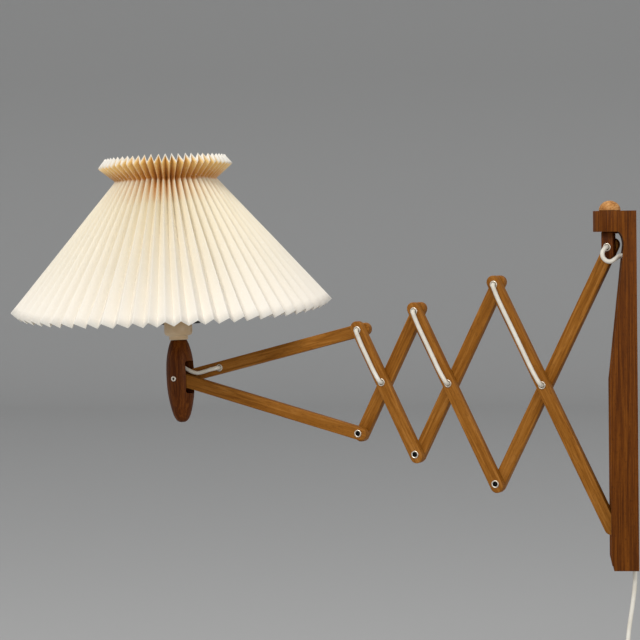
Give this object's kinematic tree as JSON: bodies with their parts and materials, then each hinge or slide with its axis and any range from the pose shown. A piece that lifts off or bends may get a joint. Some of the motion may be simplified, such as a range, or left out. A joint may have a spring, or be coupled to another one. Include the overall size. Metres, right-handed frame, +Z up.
{
  "type": "accordion wall lamp",
  "caption": "Wall lamp whose wooden scissor arm swivels on a wall bar, stretches out and carries a tilting turned head with lampholder, bulb and pleated shade; mains cord with plug.",
  "frame": {"origin": "centre of the back face of the wall bar, at the middle of its height and width, on the wall", "axes": "+X into the wall (the lamp stands out along -X), +Z up, +Y to the left of someone who faces the wall"},
  "size_m": [0.7402, 0.4247, 0.8026],
  "materials": {
    "oak_wall_bar": "dark golden brown oiled oak, straight upright grain",
    "oak_arm": "golden brown oiled oak with open grain",
    "dark_oak": "dark brown polished turned wood",
    "pale_oak": "golden brown turned oak end grain",
    "nickel": "nickel-plated, slightly dull",
    "steel": "plain zinc-plated steel",
    "brass": "plain brass",
    "cream_plastic": "cream thermoset plastic",
    "black_plastic": "dark brown to black plastic",
    "white_cord": "off-white smooth round mains cord",
    "pleated_paper": "cream pleated plastic-coated paper with fine pale specks",
    "bulb_glass": "opal glass"
  },
  "bodies": {
    "wall_unit": {"wall_bar": "oak_wall_bar", "hanger_plate": "steel", "hanger_screw_top": "steel", "hanger_screw_bottom": "steel", "cord_loop": "white_cord", "cord_in_wall_bar": "white_cord", "mains_cord": "white_cord", "cord_hank": "white_cord", "hank_tie": "black_plastic", "plug_body": "white_cord", "plug_pin_near": "brass", "plug_pin_far": "brass"},
    "swivel": {"swivel_post": "dark_oak", "swivel_knob": "pale_oak", "eyelet_top_4": "nickel"},
    "back_arm_3": {"back_bar_3": "oak_arm", "cord_back_3": "white_cord", "eyelet_cross_3": "nickel", "eyelet_bottom_3": "nickel"},
    "front_arm_3": {"front_bar_3": "oak_arm", "cord_front_3": "white_cord", "eyelet_top_3": "nickel"},
    "back_arm_2": {"back_bar_2": "oak_arm", "cord_back_2": "white_cord", "eyelet_cross_2": "nickel", "eyelet_bottom_2": "nickel"},
    "front_arm_2": {"front_bar_2": "oak_arm", "cord_front_2": "white_cord", "eyelet_top_2": "nickel"},
    "back_arm_1": {"back_bar_1": "oak_arm", "cord_back_1": "white_cord", "eyelet_cross_1": "nickel", "eyelet_bottom_1": "nickel"},
    "front_arm_1": {"front_bar_1": "oak_arm", "cord_front_1": "white_cord", "eyelet_top_1": "nickel"},
    "upper_head_arm": {"upper_head_bar": "oak_arm", "cord_head_bar": "white_cord", "cord_eyelet": "nickel", "cord_at_spindle": "white_cord"},
    "lower_head_arm": {"lower_head_bar": "oak_arm"},
    "lamp_head": {"spindle": "dark_oak", "spindle_rivet": "nickel", "threaded_nipple": "brass", "nipple_nut": "brass", "holder_cap": "cream_plastic", "socket_insulator": "cream_plastic", "centre_contact": "brass", "screw_shell": "brass", "holder_skirt": "cream_plastic", "shade_ring": "cream_plastic", "bulb_cap": "nickel", "bulb_glass": "bulb_glass", "shade_carrier": "steel", "shade": "pleated_paper", "cord_in_spindle": "white_cord"},
    "switch_bar": {"push_bar": "black_plastic"}
  },
  "joints": [
    {"name": "swivel", "type": "hinge", "parent": "wall_unit", "child": "swivel", "pos_m": [-0.028, 0, 0.158], "axis": [0, 0, 1], "range_deg": [-31, 72], "deforming": ["cord_loop"]},
    {"name": "extension", "type": "hinge", "parent": "swivel", "child": "back_arm_3", "pos_m": [-0.028, 0, 0.158], "axis": [0.373, 0.9278, 0], "range_deg": [-14.9, 44]},
    {"name": "cross_3_pivot", "type": "hinge", "parent": "back_arm_3", "child": "front_arm_3", "pos_m": [-0.10046, 0.02913, 0.00408], "axis": [0.373, 0.9278, 0], "range_deg": [-88.5, 30.3]},
    {"name": "top_3_pivot", "type": "hinge", "parent": "front_arm_3", "child": "back_arm_2", "pos_m": [-0.15347, 0.05044, 0.11671], "axis": [0.373, 0.9278, 0], "range_deg": [-30.3, 88.5]},
    {"name": "cross_2_pivot", "type": "hinge", "parent": "back_arm_2", "child": "front_arm_2", "pos_m": [-0.20649, 0.07175, 0.00408], "axis": [0.373, 0.9278, 0], "range_deg": [-88.5, 30.3]},
    {"name": "top_2_pivot", "type": "hinge", "parent": "front_arm_2", "child": "back_arm_1", "pos_m": [-0.2452, 0.08731, 0.0863], "axis": [0.373, 0.9278, 0], "range_deg": [-30.3, 88.5]},
    {"name": "cross_1_pivot", "type": "hinge", "parent": "back_arm_1", "child": "front_arm_1", "pos_m": [-0.2839, 0.10287, 0.00408], "axis": [0.373, 0.9278, 0], "range_deg": [-88.5, 30.3]},
    {"name": "top_1_pivot", "type": "hinge", "parent": "front_arm_1", "child": "upper_head_arm", "pos_m": [-0.31215, 0.11423, 0.06409], "axis": [0.373, 0.9278, 0], "range_deg": [-18.02, 52.24]},
    {"name": "bottom_1_pivot", "type": "hinge", "parent": "back_arm_1", "child": "lower_head_arm", "pos_m": [-0.31215, 0.11423, -0.05594], "axis": [0.373, 0.9278, 0], "range_deg": [-52.24, 18.02]},
    {"name": "head_tilt", "type": "hinge", "parent": "upper_head_arm", "child": "lamp_head", "pos_m": [-0.53589, 0.20417, 0.00408], "axis": [0.373, 0.9278, 0], "range_deg": [-12, 7], "deforming": ["cord_at_spindle"]},
    {"name": "push_switch", "type": "slide", "parent": "lamp_head", "child": "switch_bar", "axis": [0.927, -0.3726, 0.0436], "range_m": [0, 0.0065]}
  ],
  "couplings": [
    {"joint": "cross_3_pivot", "follows": "extension", "ratio": -2},
    {"joint": "top_3_pivot", "follows": "extension", "ratio": 2},
    {"joint": "cross_2_pivot", "follows": "extension", "ratio": -2},
    {"joint": "top_2_pivot", "follows": "extension", "ratio": 2},
    {"joint": "cross_1_pivot", "follows": "extension", "ratio": -2},
    {"joint": "top_1_pivot", "follows": "extension", "ratio": 1.176},
    {"joint": "bottom_1_pivot", "follows": "extension", "ratio": -1.176}
  ]
}
